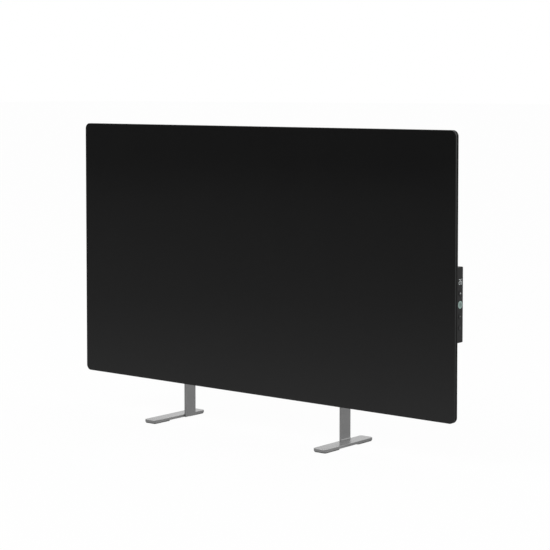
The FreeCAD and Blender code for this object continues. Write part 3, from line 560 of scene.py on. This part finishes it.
def ring(name, middle, outer, inner, start_angle=0.0, sweep=2 * math.pi):
    """A flat ring, or an arc of one that starts at an angle from the top and runs clockwise."""
    outwards = Vector((0, math.sin(start_angle), math.cos(start_angle)))
    bpy.ops.object.select_all(action="DESELECT")
    bpy.ops.mesh.primitive_plane_add(size=1, location=middle + (outer + inner) / 2 * outwards,
                                     rotation=(math.pi / 2 - start_angle, 0, 0))
    bpy.context.object.scale = (sign_thickness, outer - inner, 1)
    piece = settled(name)
    bpy.ops.object.mode_set(mode="EDIT")
    bpy.ops.mesh.select_all(action="SELECT")
    bpy.ops.mesh.spin(steps=ring_steps, angle=sweep, center=middle, axis=(1, 0, 0))
    bpy.ops.mesh.select_all(action="SELECT")
    bpy.ops.mesh.remove_doubles(threshold=stroke / 100)
    bpy.ops.mesh.select_all(action="DESELECT")
    bpy.ops.mesh.select_interior_faces()
    bpy.ops.mesh.delete(type="ONLY_FACE")
    bpy.ops.mesh.select_all(action="SELECT")
    bpy.ops.mesh.normals_make_consistent(inside=False)
    bpy.ops.object.mode_set(mode="OBJECT")
    return piece


plus_light = lit_sign("plus_light", colour=(0.75, 0.78, 0.77), strength=0.45)
dim_light = lit_sign("dim_light", colour=(0.6, 0.62, 0.62), strength=0.22)
faint_light = lit_sign("faint_light", colour=(0.5, 0.52, 0.52), strength=0.05, own_share=0.06)
power_shade = lit_sign("power_sign_shade", colour=(0.07, 0.1, 0.095), strength=0.5)

centre = sign_middle("plus_button")
half = Vector((sign_thickness, stroke, stroke)) / 2
plus_sign = block("plus_sign", centre - half, centre + half)
for way in (Vector((0, 1, 0)), Vector((0, -1, 0)), Vector((0, 0, 1)), Vector((0, 0, -1))):
    pick_faces(plus_sign, lambda middle, normal: normal.dot(way) > facing
               and (middle - centre).cross(way).length < stroke / 4)
    extrude(way * (plus_reach - stroke) / 2)
    bpy.ops.object.mode_set(mode="OBJECT")
set_sign(plus_sign, plus_light, "plus_key")

minus_sign = bar("minus_sign", sign_middle("minus_button"), plus_reach, stroke)
set_sign(minus_sign, dim_light, "minus_key")

mode_sign = ring("mode_sign", sign_middle("mode_button"), mode_radius, mode_radius - mode_stroke)
set_sign(mode_sign, faint_light, "mode_key")

centre = sign_middle("power_button")
power_arc = ring("power_arc", centre, power_radius, power_radius - stroke,
                 power_gap / 2, 2 * math.pi - power_gap)
set_sign(power_arc, power_shade, "power_key")
power_stem = bar("power_stem", centre + Vector((0, 0, power_stem_rise)), stroke, power_stem_length)
set_sign(power_stem, power_shade, "power_key")

# Display: two digits of lit segments that show through the smoked window, as on any
# thermostat. Each segment has pointed ends.
digit_width, digit_height, digit_gap = 4.5 * MM, 10.5 * MM, 1.5 * MM
segment_width, segment_play, segment_thickness = 0.95 * MM, 0.15 * MM, 0.1 * MM
tip_share = 0.1  # of a segment's width, as the width of its tips
shown_number = "26"
lit_segments = {"2": "abged", "6": "afgedc"}
half_width, half_height = (digit_width - segment_width) / 2, (digit_height - segment_width) / 2
segment_spots = {"a": (0, half_height), "b": (half_width, half_height / 2),
                 "c": (half_width, -half_height / 2), "d": (0, -half_height),
                 "e": (-half_width, -half_height / 2), "f": (-half_width, half_height / 2), "g": (0, 0)}


def segment(name, length):
    """One upright segment about the origin, with its ends drawn to a point."""
    half = Vector((segment_thickness, segment_width, length - segment_width)) / 2
    piece = block(name, -half, half)
    for end in (1, -1):
        pick_faces(piece, lambda middle, normal: normal.z * end > facing)
        extrude((0, 0, end * segment_width / 2))
        bpy.ops.transform.resize(value=(1, tip_share, 1))
        bpy.ops.object.mode_set(mode="OBJECT")
    return piece


digit_light = lit_sign("digit_light", colour=(0.72, 0.76, 0.75), strength=0.52)
window_low, window_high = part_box("display_window")
window_middle = Vector((window_high.x, (window_low.y + window_high.y) / 2,
                        (window_low.z + window_high.z) / 2))
upright = segment("upright_segment", half_height - segment_play)
lying = segment("lying_segment", 2 * half_width - segment_play)
lying.data.transform(Matrix.Rotation(math.pi / 2, 4, "X"))
digit_parts = []
for place_in_number, figure in enumerate(shown_number):
    digit_y = (place_in_number - (len(shown_number) - 1) / 2) * (digit_width + digit_gap)
    for letter in lit_segments[figure]:
        across, rise = segment_spots[letter]
        spot = window_middle + Vector((0, digit_y + across, rise))
        digit_parts.append(copied(upright if across else lying, "digit_segment", Matrix.Translation(spot)))
bpy.data.objects.remove(upright)
bpy.data.objects.remove(lying)
set_sign(joined("display_digits", digit_parts), digit_light, "heater")

# Boards: green glass-fibre boards with the supply, relay, switches and plugs that such a
# heater holds, out of sight inside the box.
circuit_board = finish("circuit_board", dark=(0.01, 0.06, 0.025), light=(0.015, 0.085, 0.035),
                       patch=3 * MM, roughness=(0.35, 0.5), grain=(0.5 * MM, 0.02 * MM))
black_resin = finish("black_resin", dark=(0.015, 0.015, 0.015), light=(0.025, 0.025, 0.025),
                     patch=5 * MM, roughness=(0.45, 0.6))
blue_resin = finish("blue_resin", dark=(0.015, 0.06, 0.2), light=(0.02, 0.08, 0.26),
                    patch=5 * MM, roughness=(0.4, 0.5))
tinned_steel = finish("tinned_steel", dark=(0.55, 0.55, 0.56), light=(0.68, 0.68, 0.69),
                      patch=3 * MM, roughness=(0.25, 0.4), fixed={"Metallic": 1})
terminal_green = finish("green_terminal_block", dark=(0.02, 0.17, 0.05), light=(0.03, 0.22, 0.07),
                        patch=5 * MM, roughness=(0.4, 0.52))
dress_nodes(circuit_board, "main_board", "key_board")
dress_nodes(black_resin, "power_supply", "key_switches", "display_module", "board_link", "buzzer",
            "capacitor")
dress_nodes(blue_resin, "relay")
dress_nodes(tinned_steel, "wireless_module", "fuse", "tilt_switch", "thermal_cutout", "glass_sensor",
            "room_sensor")
dress_nodes(terminal_green, "cord_terminal_block")

# Floor: a wide white sweep under the heater. The camera sees it white with a faint shadow,
# and the glass sees it fall off from a pool of light behind into a dim studio in front.
floor_reach = 60.0
pool_middle, pool_reach = (2.25, 2.68, 0), 3.2
share_behind = 0.745  # the place on the falloff of all the floor behind the panel
far_glow, near_glow = 0.15, 0.58
glow_stops = ((0.2, 0.157), (0.3, 0.217), (0.55, 0.29), (0.72, 0.4), (0.85, 0.5))
paper_white, shadow_share = 0.85, 0.04


def worked_out(tree, operation, first, second):
    """The outcome of a sum with two values, each a number or the output of another node."""
    return add_node(tree, "ShaderNodeMath", {0: first, 1: second}, operation=operation).outputs["Value"]


def mixed(tree, share, first, second):
    """Two shaders mixed; share is how much of the second shows."""
    return add_node(tree, "ShaderNodeMixShader", {0: share, 1: first, 2: second}).outputs["Shader"]


bpy.ops.object.select_all(action="DESELECT")
bpy.ops.mesh.primitive_plane_add(size=2 * floor_reach)
floor = bpy.context.object
floor.name = "studio_floor"
floor_white = bpy.data.materials.new("studio_floor")
floor_white.use_nodes = True
tree = floor_white.node_tree
tree.nodes.clear()
rays = tree.nodes.new("ShaderNodeLightPath")
place = tree.nodes.new("ShaderNodeTexCoord").outputs["Object"]
split = add_node(tree, "ShaderNodeSeparateXYZ", {"Vector": place})
from_pool = add_node(tree, "ShaderNodeVectorMath", {0: place, 1: pool_middle}, operation="DISTANCE")
nearness = worked_out(tree, "DIVIDE", pool_reach, from_pool.outputs["Value"])
behind_panel = worked_out(tree, "GREATER_THAN", split.outputs["Y"], 0)
lit_share = add_node(tree, "ShaderNodeMix", {"Factor": behind_panel, "A": nearness, "B": share_behind})
falloff = add_node(tree, "ShaderNodeValToRGB", {"Fac": lit_share.outputs["Result"]})
stops = falloff.color_ramp.elements
stops[0].color = (far_glow, far_glow, far_glow, 1)
stops[1].color = (near_glow, near_glow, near_glow, 1)
for share, glow in glow_stops:
    stops.new(share).color = (glow, glow, glow, 1)
for_glass = add_node(tree, "ShaderNodeEmission", {"Color": falloff.outputs["Color"]}).outputs["Emission"]
paper = add_node(tree, "ShaderNodeBsdfDiffuse",
                 {"Color": (paper_white, paper_white, paper_white, 1)}).outputs["BSDF"]
white = add_node(tree, "ShaderNodeEmission", {"Color": (1, 1, 1, 1)}).outputs["Emission"]
for_camera = mixed(tree, shadow_share, white, paper)
for_others = mixed(tree, rays.outputs["Is Glossy Ray"], paper, for_glass)
seen = mixed(tree, rays.outputs["Is Camera Ray"], for_others, for_camera)
add_node(tree, "ShaderNodeOutputMaterial", {"Surface": seen})
floor.data.materials.append(floor_white)

# Studio: an even white room as the world, dark only low down in front, where the glass looks,
# and two soft lamps that give the edges some shape.
ambient = 0.75  # the room's light on the object, as a share of the white that is seen
front_turn = -0.5  # a look's share along Y at which the dark in front is full
horizon_rise = 0.6  # a look's share along Z above which nothing is dark
world = bpy.data.worlds.new("studio")
bpy.context.scene.world = world
world.use_nodes = True
tree = world.node_tree
rays = tree.nodes.new("ShaderNodeLightPath")
heading = tree.nodes.new("ShaderNodeTexCoord").outputs["Generated"]
split = add_node(tree, "ShaderNodeSeparateXYZ", {"Vector": heading})
seen = worked_out(tree, "ADD", rays.outputs["Is Camera Ray"], rays.outputs["Is Glossy Ray"])
level = add_node(tree, "ShaderNodeMapRange", {"Value": seen, "To Min": ambient, "To Max": 1})
in_front = add_node(tree, "ShaderNodeMapRange", {"Value": split.outputs["Y"], "From Min": 0,
                                                 "From Max": front_turn, "To Max": 1 - far_glow})
low_down = add_node(tree, "ShaderNodeMapRange", {"Value": split.outputs["Z"], "From Max": horizon_rise,
                                                 "To Min": 1, "To Max": 0}, interpolation_type="SMOOTHSTEP")
dark_front = worked_out(tree, "MULTIPLY", in_front.outputs["Result"], low_down.outputs["Result"])
dark_for_glass = worked_out(tree, "MULTIPLY", dark_front, rays.outputs["Is Glossy Ray"])
room_level = worked_out(tree, "SUBTRACT", level.outputs["Result"], dark_for_glass)
room = tree.nodes["Background"]
room.inputs["Color"].default_value = (1, 1, 1, 1)
tree.links.new(room_level, room.inputs["Strength"])

aim = Vector((0, 0, 0.3))
for name, spot, size, power in (("front_softbox", Vector((-1.6, -2.4, 3.2)), 2.2, 45),
                                ("side_softbox", Vector((3.0, 0.6, 2.4)), 1.6, 25)):
    towards = (aim - spot).to_track_quat("-Z", "Y").to_euler()
    bpy.ops.object.light_add(type="AREA", location=spot, rotation=towards)
    lamp = bpy.context.object
    lamp.name = name
    lamp.data.size = size
    lamp.data.energy = power

# Camera: where the photograph was taken from, a little above the panel's top, with the
# lens shifted down to frame the legs.
camera_spot = (2.2504, -2.6897, 0.7249)
camera_tilt, camera_turn = math.radians(87.02), math.radians(39.25)
sensor_width, focal_length = 36, 109.89
shift_right, shift_up = -0.0003, -0.1828
bpy.ops.object.camera_add(location=camera_spot, rotation=(camera_tilt, 0, camera_turn))
camera = bpy.context.object
camera.data.sensor_width = sensor_width
camera.data.lens = focal_length
camera.data.shift_x = shift_right
camera.data.shift_y = shift_up
bpy.context.scene.camera = camera
bpy.context.scene.view_settings.view_transform = "Standard"
